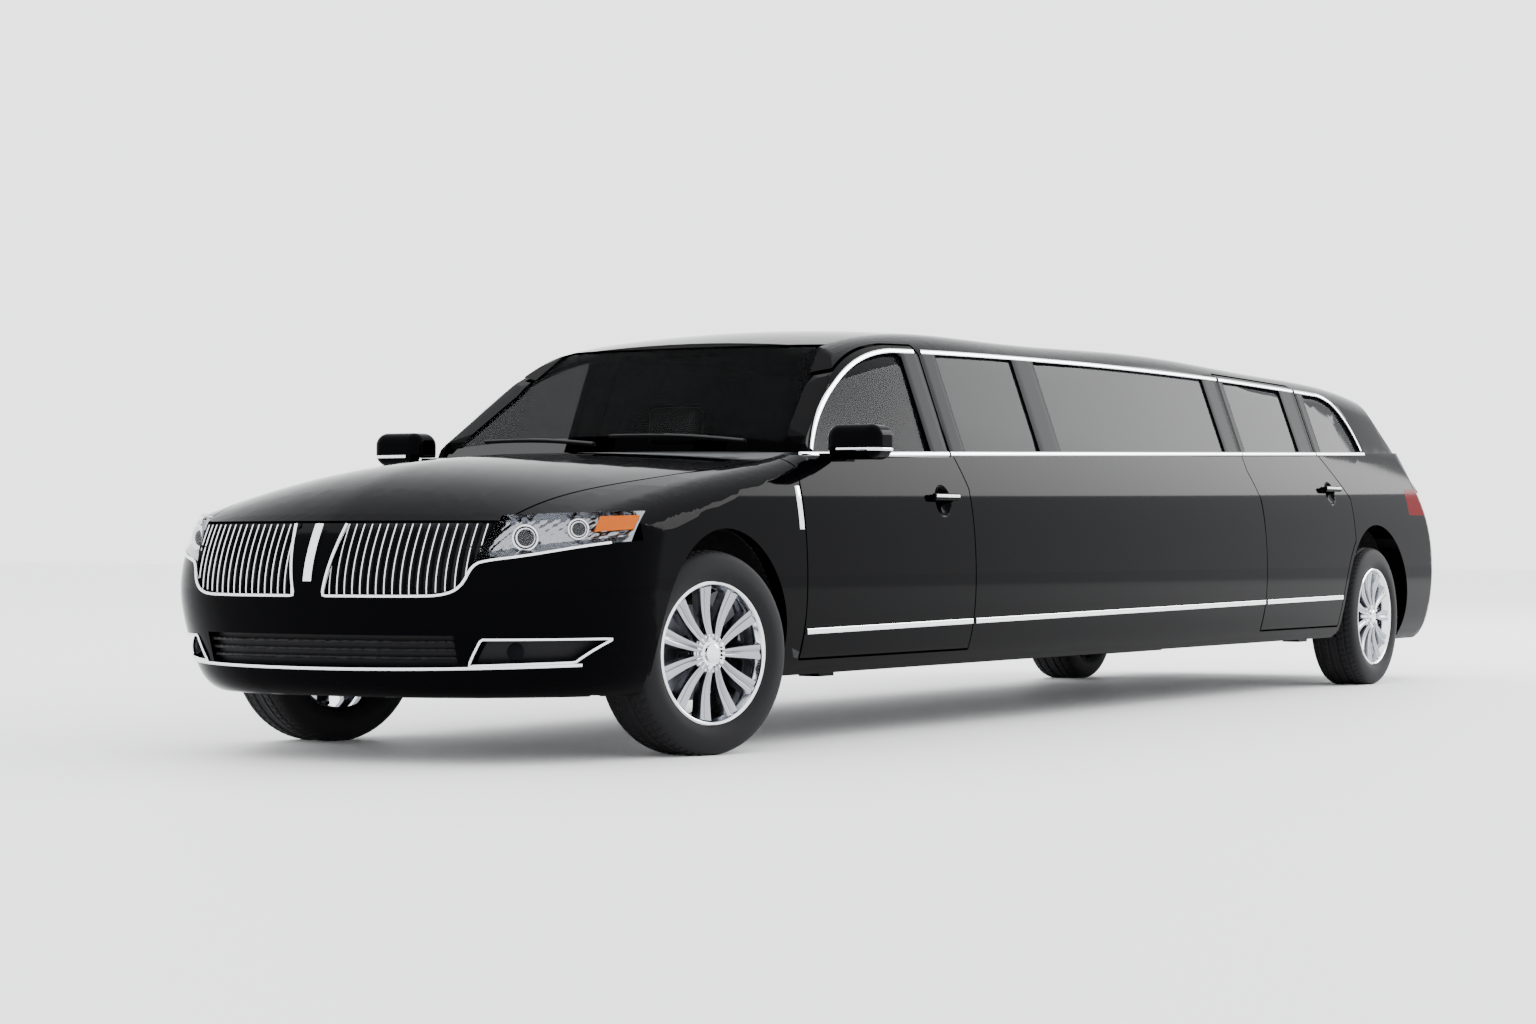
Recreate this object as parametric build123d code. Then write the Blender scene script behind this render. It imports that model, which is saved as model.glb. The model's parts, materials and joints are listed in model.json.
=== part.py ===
"""A stretch limousine: a long six-window body on two axles, built panel by panel.

Frame: X across (the car's left is +X), Y along (the nose points to -Y), Z up from the ground, in mm.
Stations along the car are given behind the front axle (front_y) or behind the rear axle (rear_y).
"""
import os
from math import atan, cos, radians, sin, sqrt

from build123d import *

# Overall sizes
WHEELBASE = 6930
FRONT_OVERHANG = 1185
REAR_OVERHANG = 1265
BODY_WIDTH = 2000
TRACK = 1720
LENGTH = FRONT_OVERHANG + WHEELBASE + REAR_OVERHANG
FRONT_AXLE = FRONT_OVERHANG - LENGTH / 2
REAR_AXLE = FRONT_AXLE + WHEELBASE

# Body shell
SIDE_WALL = 115
NOSE_WALL = 45
PILLAR_WALL = 45
HOOD_WALL = 38
ROOF_WALL = 36
FLOOR_BOTTOM = 270
FLOOR_TOP = 325
CABIN_FRONT = 560
FIREWALL = 60
SHUT_GAP = 9
BAY_START = -650
BAY_END = 400
RAIL_SPACE = 840
FLOOR_HALF = 800
COWL_HALF = 835
COWL_END = 830
KICK = 560
RAISED_FLOOR = 520
RAISED_HALF = 835
GLASS_DEPTH = 9
GLASS_THICK = 6
ROOF_SPLIT = 640
HOOD_EDGE = 852
HOOD_END = 490
HOOD_RIDGE = 5
GATE_TOP = 510
GATE_BOTTOM = 690
BUMPER_SEAM = 590

# Grille
SLATS = 18
SLAT_THICK = 7
GRILLE_BACK = 8

# Doors and belt line
BELT_HEIGHT = 1085
BELT_SLOPE = 0.0235
SILL_TOP = 335
FRONT_DOOR = 590
FRONT_DOOR_END = 1935
FRONT_DOOR_KICK = 75
REAR_DOOR = -1720
REAR_DOOR_END = -660
REAR_DOOR_KICK = 85
FREE_EDGE_RELIEF = 8
FRAME_WIDTH = 34
DOOR_INNER = 690
HANDLE_CUP_R = 115
HANDLE_CUP_DEPTH = 20

# Hinges
PIN_R = 5
KNUCKLE_R = 11
LEAF_HEIGHT = 30
HINGE_CLEAR = 5
RUN_CLEAR = 0.05
HINGE_DEPTH = 30
HINGE_SET_BACK = 45
DOOR_HINGE_HEIGHTS = (500, 770)
DOOR_POST_DEPTH = 172
DOOR_POST_WIDTH = 60
DOOR_POST_TOP = 860
COWL_CLEAR = 15
HOOD_HINGE_X = 600
HOOD_HINGE_HEIGHT = 1073
GATE_HINGE_X = 400
GATE_HINGE_HEIGHT = 1571
GATE_NOSE_R = 60

# Wheels
TYRE_R = 372
TYRE_WIDTH = 255
RIM_R = 262
RIM_SEAT = 254
BARREL = 105
SPOKES = 11
STUB_R = 30
STEER_AT_REST = 15
KINGPIN_OFFSET = 70
FRONT_ARCH_R = 455
REAR_ARCH_R = 500
ARCH_INNER = 500
LINER = 16


def front_y(station):
    return FRONT_AXLE + station


def rear_y(station):
    return REAR_AXLE + station


def belt_z(y):
    return BELT_HEIGHT + BELT_SLOPE * (y - FRONT_AXLE)


def prism_x(points, x0, x1):
    """A prism along X over a polygon of (y, z) points."""
    face = make_face(Polyline(*[(x0, y, z) for y, z in points], close=True))
    return extrude(face, amount=x1 - x0, dir=(1, 0, 0))


def prism_y(points, y0, y1):
    """A prism along Y over a polygon of (x, z) points."""
    face = make_face(Polyline(*[(x, y0, z) for x, z in points], close=True))
    return extrude(face, amount=y1 - y0, dir=(0, 1, 0))


def prism_z(points, z0, z1):
    """A prism along Z over a polygon of (x, y) points."""
    face = make_face(Polyline(*[(x, y, z0) for x, y in points], close=True))
    return extrude(face, amount=z1 - z0, dir=(0, 0, 1))


def block(x0, x1, y0, y1, z0, z1):
    return Pos((x0 + x1) / 2, (y0 + y1) / 2, (z0 + z1) / 2) * Box(x1 - x0, y1 - y0, z1 - z0)


def rod_x(radius, x0, x1, y, z):
    return Pos((x0 + x1) / 2, y, z) * Rot(0, 90, 0) * Cylinder(radius, x1 - x0)


def rod_z(radius, z0, z1, x, y):
    return Pos(x, y, (z0 + z1) / 2) * Cylinder(radius, z1 - z0)


def other_side(shape):
    return mirror(shape, about=Plane.YZ)


def both(shape):
    return [shape, other_side(shape)]


def grow(points, gap):
    """The polygon moved outwards by gap on every side."""
    area = sum(a[0] * b[1] - b[0] * a[1] for a, b in zip(points, points[1:] + points[:1]))
    way = 1 if area > 0 else -1
    moved = []
    for before, here, after in zip(points[-1:] + points[:-1], points, points[1:] + points[:1]):
        a = (Vector(*here) - Vector(*before)).normalized()
        b = (Vector(*after) - Vector(*here)).normalized()
        normals = Vector(a.Y, -a.X) + Vector(b.Y, -b.X)
        shift = normals * (way * gap * 2 / normals.dot(normals))
        moved.append((here[0] + shift.X, here[1] + shift.Y))
    return moved


# Plan outlines: height, half width lost, nose set back, tail set back
LOWER_ROWS = (
    (235, 95, 125, 75),
    (330, 40, 55, 20),
    (450, 12, 25, 7),
    (600, 0, 0, 0),
    (760, 3, 35, 10),
    (900, 16, 110, 50),
    (1060, 50, 225, 135),
    (1340, 150, 485, 285),
)
NOSE_R, NOSE_CORNER_R = 2000, 750
TAIL_R, TAIL_CORNER_R = 3000, 350

# Hood crown: station, height at the centre, height at the shoulder
HOOD_ROWS = (
    (-1330, 600, 520),
    (-1130, 805, 705),
    (-985, 905, 785),
    (-773, 1001, 862),
    (-400, 1080, 945),
    (120, 1117, 1030),
    (700, 1135, 1122),
)
SHOULDER_X, SHOULDER_END = 860, 995

# Greenhouse: height, half width, windshield station, tail station behind the rear axle, bow radius
CABIN_ROWS = (
    (1060, 945, 580, 1150, 6000),
    (1760, 700, 1590, 430, 6000),
)
CABIN_CORNER_R, CABIN_TAIL_R, CABIN_TAIL_CORNER_R = 70, 2500, 280

# Roof crown: station, height at the centre
ROOF_ROWS = ((800, 1490), (1358, 1602), (1750, 1667), (2500, 1701), (3800, 1712))
ROOF_REAR_ROWS = ((-1500, 1705), (-100, 1672), (520, 1618), (1000, 1545))
ROOF_SHOULDER_X, ROOF_EDGE_X, ROOF_DROP = 600, 790, 27


def rounded_end(half, end, bow, corner, way):
    """Points of a bowed end: bow to corner join, corner middle, corner to side join."""
    bow_y = end + way * bow
    corner_y = bow_y - way * sqrt((bow - corner) ** 2 - (half - corner) ** 2)
    towards = Vector(half - corner, corner_y - bow_y).normalized()
    centre = Vector(half - corner, corner_y)
    join = Vector(0, bow_y) + towards * bow
    middle = centre + (towards + Vector(1, 0)).normalized() * corner
    return join, middle, centre + Vector(corner, 0)


def plan_outline(z, half, nose, tail, nose_bow, nose_corner, tail_bow, tail_corner):
    """A closed plan outline at one height, of a bowed nose, two sides and a bowed tail."""
    def right(v):
        return (v.X, v.Y, z)

    def left(v):
        return (-v.X, v.Y, z)

    join, corner, side = rounded_end(half, nose, nose_bow, nose_corner, 1)
    tail_join, tail_mid, tail_side = rounded_end(half, tail, tail_bow, tail_corner, -1)
    return Wire([
        ThreePointArc(left(join), (0, nose, z), right(join)),
        ThreePointArc(right(join), right(corner), right(side)),
        Line(right(side), right(tail_side)),
        ThreePointArc(right(tail_side), right(tail_mid), right(tail_join)),
        ThreePointArc(right(tail_join), (0, tail, z), left(tail_join)),
        ThreePointArc(left(tail_join), left(tail_mid), left(tail_side)),
        Line(left(tail_side), left(side)),
        ThreePointArc(left(side), left(corner), left(join)),
    ])


def crown_section(y, top, shoulder_x, shoulder_z, edge_x, low, steep, ridge=0):
    """A closed cross-section with a crowned top, ridged along its middle, that rolls over into its sides."""
    start = 2 * atan((top - shoulder_z) / shoulder_x)
    stop = radians(steep)
    radius = (edge_x - shoulder_x) / (sin(stop) - sin(start))

    def roll(side, angle):
        x = shoulder_x + radius * (sin(angle) - sin(start))
        return (side * x, y, shoulder_z - radius * (cos(start) - cos(angle)))

    half = (start + stop) / 2
    wide = edge_x + 200
    flank = top - (top - shoulder_z) / 4 - ridge
    return Wire([
        Line((-wide, y, low), (wide, y, low)),
        Line((wide, y, low), roll(1, stop)),
        ThreePointArc(roll(1, stop), roll(1, half), roll(1, start)),
        ThreePointArc(roll(1, start), (shoulder_x / 2, y, flank), (0, y, top)),
        ThreePointArc((0, y, top), (-shoulder_x / 2, y, flank), roll(-1, start)),
        ThreePointArc(roll(-1, start), roll(-1, half), roll(-1, stop)),
        Line(roll(-1, stop), (-wide, y, low)),
    ])


def lower_hull(inset):
    """The body's sides, nose and tail below the belt, moved inwards by inset."""
    return Solid.make_loft([
        plan_outline(
            z, BODY_WIDTH / 2 - lost - inset, -LENGTH / 2 + nose + inset, LENGTH / 2 - tail - inset,
            NOSE_R - inset, NOSE_CORNER_R - inset, TAIL_R - inset, TAIL_CORNER_R - inset)
        for z, lost, nose, tail in LOWER_ROWS])


def hood_crown(inset):
    """The space under the hood and fender tops, moved down by inset."""
    return Solid.make_loft([
        crown_section(front_y(s), top - inset, SHOULDER_X, edge - inset, SHOULDER_END, 100, 75, HOOD_RIDGE)
        for s, top, edge in HOOD_ROWS])


def belt_crown():
    """The space under the belt, behind the hood."""
    start, top, edge = HOOD_ROWS[-1]
    rise = BELT_SLOPE * (LENGTH - FRONT_OVERHANG - start)
    return Solid.make_loft([
        crown_section(y, top + lift, SHOULDER_X, edge + lift, SHOULDER_END, 100, 75)
        for y, lift in ((front_y(start), 0), (LENGTH / 2 + 60, rise))], True)


def greenhouse(inset, roof_inset):
    """The cabin above the belt, with walls moved inwards by inset and the roof by roof_inset."""
    walls = Solid.make_loft([
        plan_outline(
            z, half - inset, front_y(nose) + inset, rear_y(tail) - inset,
            bow - inset, CABIN_CORNER_R - inset, CABIN_TAIL_R - inset, CABIN_TAIL_CORNER_R - inset)
        for z, half, nose, tail, bow in CABIN_ROWS], True)
    rows = [(front_y(s), top) for s, top in ROOF_ROWS] + [(rear_y(s), top) for s, top in ROOF_REAR_ROWS]
    roof = Solid.make_loft([
        crown_section(
            y, top - roof_inset, ROOF_SHOULDER_X - roof_inset, top - ROOF_DROP - roof_inset,
            ROOF_EDGE_X - roof_inset, 900, 65)
        for y, top in rows])
    return walls & roof


def save(node, *pieces):
    """Write the solids of one node to its STEP file."""
    solids = [solid for piece in pieces for solid in piece.solids()]
    export_step(Compound(children=solids) if len(solids) > 1 else solids[0], f"parts/{node}.step")


def nose_y(x, lost, nose):
    """Where the nose's outline of one row crosses the lengthwise plane at x."""
    half = BODY_WIDTH / 2 - lost
    join, middle, side = rounded_end(half, nose - LENGTH / 2, NOSE_R, NOSE_CORNER_R, 1)
    if x < join.X:
        return nose - LENGTH / 2 + NOSE_R - sqrt(NOSE_R ** 2 - x ** 2)
    return side.Y - sqrt(NOSE_CORNER_R ** 2 - (x - half + NOSE_CORNER_R) ** 2)


def slat(x):
    """An upright grille slat at x that follows the nose."""
    line = [(nose_y(x, lost, nose), z) for z, lost, nose, tail in LOWER_ROWS[2:6]]
    face = [(y + 10, z) for y, z in line]
    back = [(y + NOSE_WALL + 12, z) for y, z in reversed(line)]
    return prism_x(face + back, x, x + SLAT_THICK)


def side_face(*edges):
    return make_face(edges)


def side_slab(face, x0, x1):
    """A face in the YZ plane given thickness from x0 to x1."""
    return extrude(Pos(x0, 0, 0) * face, amount=x1 - x0, dir=(1, 0, 0))


def yz(points):
    """A polygon face in the YZ plane."""
    return make_face(Polyline(*[(0, y, z) for y, z in points], close=True))


def span(y0, y1, z0=0, z1=2000):
    """A rectangular face in the YZ plane."""
    return yz([(y0, z0), (y1, z0), (y1, z1), (y0, z1)])


def wheel_space(radius, inner, outer, y):
    """Two cylinders around an axle's wheels."""
    return rod_x(radius, inner, outer, y, TYRE_R) + rod_x(radius, -outer, -inner, y, TYRE_R)


def largest(shape):
    return shape.solids().sort_by(SortBy.VOLUME)[-1]


def split(stock, inner, outer):
    """The piece of stock inside inner, and the stock left outside outer."""
    return stock & inner, stock - outer


os.makedirs("parts", exist_ok=True)

# Hollow body
hull = lower_hull(0)
outer = (hull & hood_crown(0)) + (hull & belt_crown()) + greenhouse(0, 0)
wide = BODY_WIDTH
cabin_low = lower_hull(SIDE_WALL) & block(-wide, wide, front_y(CABIN_FRONT), LENGTH / 2, FLOOR_TOP, 1075)
cabin_high = greenhouse(PILLAR_WALL, ROOF_WALL)
bay = lower_hull(NOSE_WALL) & hood_crown(HOOD_WALL)
bay = bay & block(-wide, wide, -LENGTH / 2, front_y(CABIN_FRONT - FIREWALL), FLOOR_TOP - 25, 1300)
shell = outer - cabin_low - cabin_high - bay
shell -= block(-wide, wide, front_y(BAY_END), rear_y(500), 0, FLOOR_BOTTOM)
shell -= block(-RAIL_SPACE, RAIL_SPACE, front_y(BAY_START), front_y(BAY_END), 0, FLOOR_TOP)
shell -= block(-FLOOR_HALF, FLOOR_HALF, rear_y(-KICK), rear_y(KICK), 0, FLOOR_TOP)
for y, radius, wall in ((FRONT_AXLE, FRONT_ARCH_R, NOSE_WALL), (REAR_AXLE, REAR_ARCH_R, SIDE_WALL)):
    shell -= wheel_space(radius + LINER, ARCH_INNER, BODY_WIDTH / 2 - wall - 12, y)
    shell -= wheel_space(radius, ARCH_INNER, BODY_WIDTH, y)

# Window band on the side of the cabin
glass_front = (front_y(815), belt_z(front_y(815)) + 22)
glass_crest = (front_y(1720), 1560)
glass_rear_top = (rear_y(-370), 1566)
glass_rear = (rear_y(80), belt_z(rear_y(80)) + 22)
glass_middle = (glass_crest[0] + glass_rear_top[0]) / 2
band = side_face(
    ThreePointArc((0, *glass_front), (0, front_y(1145), 1385), (0, *glass_crest)),
    ThreePointArc((0, *glass_crest), (0, glass_middle, 1594), (0, *glass_rear_top)),
    ThreePointArc((0, *glass_rear_top), (0, rear_y(-70), 1471), (0, *glass_rear)),
    Line((0, *glass_rear), (0, *glass_front)),
)
frame_band = offset(band, FRAME_WIDTH)
WINDOWS = {
    "front_door": (front_y(590), front_y(1771)),
    "short": (front_y(2090), front_y(2837)),
    "long": (front_y(3058), rear_y(-1917)),
    "rear_door": (rear_y(-1647), rear_y(-882)),
    "quarter": (rear_y(-553), rear_y(200)),
}
window_faces = {name: band & span(*ends) for name, ends in WINDOWS.items()}
windows = {name: side_slab(face, 600, 1100) for name, face in window_faces.items()}

# Door outlines
front_low = yz([
    (front_y(FRONT_DOOR), SILL_TOP),
    (front_y(FRONT_DOOR), belt_z(front_y(FRONT_DOOR)) + 10),
    (front_y(FRONT_DOOR_END), belt_z(front_y(FRONT_DOOR_END)) + 30),
    (front_y(FRONT_DOOR_END + FRONT_DOOR_KICK), 1000),
    (front_y(FRONT_DOOR_END + FRONT_DOOR_KICK), SILL_TOP),
])
rear_low = yz([
    (rear_y(REAR_DOOR + REAR_DOOR_KICK), SILL_TOP),
    (rear_y(REAR_DOOR + REAR_DOOR_KICK), 990),
    (rear_y(REAR_DOOR), 1140),
    (rear_y(REAR_DOOR), belt_z(rear_y(REAR_DOOR)) + 30),
    (rear_y(REAR_DOOR_END), belt_z(rear_y(REAR_DOOR_END)) + 30),
    (rear_y(-345), 1010),
    (rear_y(-345), SILL_TOP),
])
arch_clear = Pos(0, REAR_AXLE, TYRE_R) * Rot(0, 90, 0) * Circle(REAR_ARCH_R + 40)
rear_low -= arch_clear
front_door_face = front_low + (frame_band & span(front_y(FRONT_DOOR), front_y(FRONT_DOOR_END), 1080))
rear_door_face = rear_low + (frame_band & span(rear_y(REAR_DOOR), rear_y(REAR_DOOR_END), 1200))

# Hood
hood_plan = [
    (-640, -LENGTH / 2 - 50), (640, -LENGTH / 2 - 50), (655, front_y(-985)), (835, front_y(HOOD_END)),
    (-835, front_y(HOOD_END)), (-655, front_y(-985)),
]
hood_space = prism_z(hood_plan, HOOD_EDGE, 1400)
hood_opening = prism_z(grow(hood_plan, SHUT_GAP), HOOD_EDGE - SHUT_GAP, 1400)
hood, rest = split(shell, hood_space, hood_opening)

# Windshield
windshield_view = [(-790, 1140), (790, 1140), (615, 1585), (-615, 1585)]
windshield_space = prism_y(windshield_view, front_y(480), front_y(1500))
glass_back = GLASS_DEPTH + GLASS_THICK
glass_skin = greenhouse(GLASS_DEPTH, GLASS_DEPTH) - greenhouse(glass_back, glass_back)
save("windshield", glass_skin & windshield_space)
rest -= windshield_space

# Tailgate
gate_view = [(-720, GATE_BOTTOM), (720, GATE_BOTTOM), (760, 1150), (640, 1760), (-640, 1760), (-760, 1150)]
gate, rest = split(
    rest, prism_y(gate_view, rear_y(GATE_TOP), LENGTH),
    prism_y(grow(gate_view, SHUT_GAP), rear_y(GATE_TOP) - SHUT_GAP, LENGTH))
gate_window = prism_y([(-690, 1200), (690, 1200), (585, 1560), (-585, 1560)], rear_y(GATE_TOP), LENGTH)
gate -= gate_window
save("liftgate_glass", glass_skin & gate_window)

# Roof panel
roof_space = block(-ROOF_SPLIT, ROOF_SPLIT, front_y(1100), rear_y(GATE_TOP), 1550, 1900)
roof, rest = split(rest, roof_space, roof_space)

# Floor, firewall and cowl
floor_space = block(-FLOOR_HALF, FLOOR_HALF, front_y(BAY_START), rear_y(950), 0, FLOOR_TOP)
floor_space += block(-COWL_HALF, COWL_HALF, front_y(HOOD_END), front_y(COWL_END), FLOOR_TOP, 1145)
floor, rest = split(rest, floor_space, floor_space)

# Lamps
lamp_view = [(608, 709), (655, 870), (1010, 890), (1010, 790)]
lamp_space = prism_y(lamp_view, -LENGTH / 2 - 50, front_y(-540))
lamp_space += other_side(lamp_space)
lamps, rest = split(rest, lamp_space, lamp_space)
save("headlamps", lamps)
tail_view = [(769, 930), (1010, 930), (1010, 1075), (769, 1075)]
tail_space = prism_y(tail_view, rear_y(560), LENGTH)
tail_space += other_side(tail_space)
tail_lamps, rest = split(rest, tail_space, tail_space)
save("tail_lamps", tail_lamps)

# Bumpers
front_bumper_space = block(-wide, wide, -LENGTH, front_y(-640), 0, HOOD_EDGE)
front_bumper_space += block(-wide, wide, -LENGTH, front_y(-380), 0, BUMPER_SEAM)
front_bumper, rest = split(rest, front_bumper_space, front_bumper_space)
rear_bumper_space = block(-wide, wide, rear_y(420), LENGTH, 0, GATE_BOTTOM - SHUT_GAP)
rear_bumper, rest = split(rest, rear_bumper_space, rear_bumper_space)
save("rear_bumper", rear_bumper)

# Grilles
grille_view = [(62, 592), (440, 592), (575, 612), (608, 709), (647.1, 843), (112, 843)]
grille_space = prism_y(grille_view, -LENGTH / 2 - 50, front_y(-800))
intake_view = [(-540, 345), (540, 345), (540, 455), (-540, 455)]
intake_space = prism_y(intake_view, -LENGTH / 2 - 50, front_y(-800))
fog_view = [(575, 350), (850, 360), (935, 441), (625, 441)]
fog_space = prism_y(fog_view, -LENGTH / 2 - 50, front_y(-560))
back_zone = lower_hull(NOSE_WALL - GRILLE_BACK) - lower_hull(NOSE_WALL)
slat_pitch = (640 - 75) / SLATS
slats = [slat(80 + slat_pitch * n) & grille_space for n in range(SLATS)]
half_grille = (back_zone & grille_space) + slats
save("upper_grille", *both(half_grille))
rib_zone = lower_hull(12) - lower_hull(NOSE_WALL - GRILLE_BACK)
ribs = [rib_zone & block(-535, 535, -LENGTH, front_y(-800), z, z + 10) for z in (370, 398, 426)]
low_grille = (back_zone & intake_space) + ribs
save("lower_grille", low_grille, *both(back_zone & fog_space))
front_bumper -= grille_space + other_side(grille_space) + intake_space + fog_space + other_side(fog_space)
save("front_bumper", front_bumper)

# Side panels, one half mirrored to the other
half = rest & block(0, wide, -LENGTH, LENGTH, 0, 2000)
doors = {}
for name, face, end in (
    ("front", front_door_face, front_y(FRONT_DOOR_END)),
    ("rear", rear_door_face, rear_y(REAR_DOOR_END)),
):
    relief = span(end - FREE_EDGE_RELIEF, end + 40, belt_z(end) + 20)
    opening = side_slab(offset(face, SHUT_GAP), 600, 1100)
    door, half = split(half, side_slab(face - relief, DOOR_INNER, 1100), opening)
    doors[name] = door - windows[f"{name}_door"]
    save(f"{name}_left_glass", glass_skin & windows[f"{name}_door"])
    save(f"{name}_right_glass", other_side(glass_skin & windows[f"{name}_door"]))
fixed = []
for name in ("short", "long", "quarter"):
    half -= windows[name]
    fixed.append(glass_skin & windows[name])
save("fixed_side_glass", *[piece for glass in fixed for piece in both(glass)])
doors["front"] -= block(0, COWL_HALF + COWL_CLEAR, -LENGTH, front_y(COWL_END), 1000, 1250)
fender_space = block(0, wide, -LENGTH, front_y(FRONT_DOOR), 0, 1300)
fender, half = split(half, fender_space, fender_space)
half = largest(half)


def hinge(at, post, foot):
    """A hinge in a frame of x outwards, y to the free side and z along the pin.

    Gives the fixed leaf with its pin, the pocket in the moving panel and the bore for the pin.
    """
    room = KNUCKLE_R + HINGE_CLEAR
    tall = LEAF_HEIGHT + 2 * HINGE_CLEAR
    pin_length = tall + 70
    leaf = Cylinder(PIN_R, pin_length) + Cylinder(KNUCKLE_R, LEAF_HEIGHT)
    leaf += Pos(-post / 2, 0, 0) * Box(post, 2 * KNUCKLE_R, LEAF_HEIGHT)
    if foot:
        leaf += Pos(13 - post, -foot / 2, 0) * Box(26, foot, LEAF_HEIGHT)
    pocket = Cylinder(room, tall)
    pocket += Pos(-150, (room - 120) / 2, 0) * Box(300, room + 120, tall)
    pocket += Pos(room / 2 - 20, -60, 0) * Box(room + 40, 120, tall)
    bore = Cylinder(PIN_R + RUN_CLEAR, pin_length + 2)
    return at * leaf, at * pocket, at * bore


def boss(at):
    """Two lugs beside a hinge pocket that carry the ends of its pin."""
    near = LEAF_HEIGHT / 2 + HINGE_CLEAR
    lug = Pos(-4, 2, near + 22) * Box(34, 36, 44)
    return at * lug + at * mirror(lug, about=Plane.XY)


SWING_R = sqrt(HINGE_DEPTH ** 2 + HINGE_SET_BACK ** 2) + HINGE_CLEAR
POST_X = BODY_WIDTH / 2 - DOOR_POST_DEPTH
leaves = []
hinge_x = BODY_WIDTH / 2 - HINGE_DEPTH
DOOR_HINGE = {
    "front": front_y(FRONT_DOOR + HINGE_SET_BACK),
    "rear": rear_y(REAR_DOOR + REAR_DOOR_KICK + HINGE_SET_BACK),
}
for name, y in DOOR_HINGE.items():
    for z in DOOR_HINGE_HEIGHTS:
        frame = Plane((hinge_x, y, z), x_dir=(1, 0, 0), z_dir=(0, 0, 1))
        leaf, pocket, bore = hinge(frame.location, hinge_x - POST_X, 0)
        doors[name] = doors[name] - pocket - bore
        leaves += both(leaf)
    relief = rod_z(SWING_R, SILL_TOP, 1000, hinge_x, y)
    fender -= relief
    half -= relief
    half += block(POST_X - DOOR_POST_WIDTH, POST_X, y - 44, y + 60, FLOOR_TOP, DOOR_POST_TOP) & cabin_low
    half += block(FLOOR_HALF, BODY_WIDTH / 2 - 130, y - 44, y + 60, FLOOR_TOP - 40, FLOOR_TOP)

hood_y = front_y(HOOD_END - HINGE_SET_BACK)
hood_z = HOOD_HINGE_HEIGHT
for x in (HOOD_HINGE_X, -HOOD_HINGE_X):
    frame = Plane((x, hood_y, hood_z), x_dir=(0, 0, 1), z_dir=(1, 0, 0))
    leaf, pocket, bore = hinge(frame.location, 95, front_y(CABIN_FRONT - FIREWALL) - hood_y)
    hood = hood + boss(frame.location) - pocket - bore
    leaves.append(leaf)
hood_rise = HOOD_ROWS[-1][1] - hood_z
hood_swing_r = sqrt(HINGE_SET_BACK ** 2 + hood_rise ** 2) + HINGE_CLEAR
floor -= rod_x(hood_swing_r, -wide, wide, hood_y, hood_z)

gate_y = rear_y(GATE_TOP + HINGE_SET_BACK)
gate_z = GATE_HINGE_HEIGHT
header = block(-560, 560, gate_y - 150, gate_y - 66, gate_z - 95, gate_z + 20) & cabin_high
for x in (GATE_HINGE_X, -GATE_HINGE_X):
    frame = Plane((x, gate_y, gate_z), x_dir=(0, 0, 1), z_dir=(-1, 0, 0))
    leaf, pocket, bore = hinge(frame.location, 95, 66)
    gate = gate + boss(frame.location) - pocket - bore
    leaves.append(leaf)
gate_nose = block(-wide, wide, gate_y - 200, gate_y, gate_z, gate_z + 200)
gate -= gate_nose - rod_x(GATE_NOSE_R, -wide, wide, gate_y, gate_z)
roof = roof + header - rod_x(GATE_NOSE_R + HINGE_CLEAR + 1, -wide, wide, gate_y, gate_z)
save("hinge_leaves", *leaves)
save("roof_panel", roof)

# Raised floor over the rear axle
raised_top = RAISED_FLOOR + 40
raised = block(-RAISED_HALF, RAISED_HALF, rear_y(-KICK - 20), rear_y(KICK + 20), RAISED_FLOOR, raised_top)
raised = raised & cabin_low
for y in (-KICK - 20, KICK):
    raised += block(-FLOOR_HALF, FLOOR_HALF, rear_y(y), rear_y(y + 20), FLOOR_TOP - 1, RAISED_FLOOR + 1)
raised -= wheel_space(REAR_ARCH_R + LINER, ARCH_INNER, BODY_WIDTH, REAR_AXLE)
floor = largest(floor + raised)
save("floor_pan", floor)

# Wheel liners
liners = []
for y, radius, wall, slot, top in (
    (FRONT_AXLE, FRONT_ARCH_R, NOSE_WALL, 110, 600),
    (REAR_AXLE, REAR_ARCH_R, SIDE_WALL, 75, 460),
):
    end = BODY_WIDTH / 2 - wall - 12
    liner = rod_x(radius + LINER, ARCH_INNER, end, y, TYRE_R)
    liner -= rod_x(radius, ARCH_INNER + LINER, end, y, TYRE_R)
    liner -= block(0, wide, y - 800, y + 800, -200, FLOOR_TOP + 5)
    liner -= block(0, ARCH_INNER + 100, y - slot, y + slot, 0, top)
    liners += both(liner)
save("wheel_liners", *liners)

# Handles and mirrors
HANDLES = {"front": (front_y(1759), 963), "rear": (rear_y(-633), 1061)}
for name, (y, z) in HANDLES.items():
    grip_x = BODY_WIDTH / 2 - 8 - (z - 963) * 0.2
    grip = fillet(Box(18, 230, 30).edges(), 8)
    doors[name] -= Pos(grip_x - 22 + HANDLE_CUP_R - HANDLE_CUP_DEPTH, y, z) * Sphere(HANDLE_CUP_R)
    doors[name] += Pos(grip_x, y, z) * grip
    for end in (-95, 95):
        doors[name] += block(grip_x - 45, grip_x, y + end - 11, y + end + 11, z - 9, z + 9)
mirror_body = Pos(1084, front_y(850), 1164) * fillet(Box(236, 170, 138).edges(), 52)
mirror_body += Pos(985, front_y(840), 1105) * Box(120, 70, 34)
mirror_body -= doors["front"]
save("front_left_mirror", mirror_body)
save("front_right_mirror", other_side(mirror_body))

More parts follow.
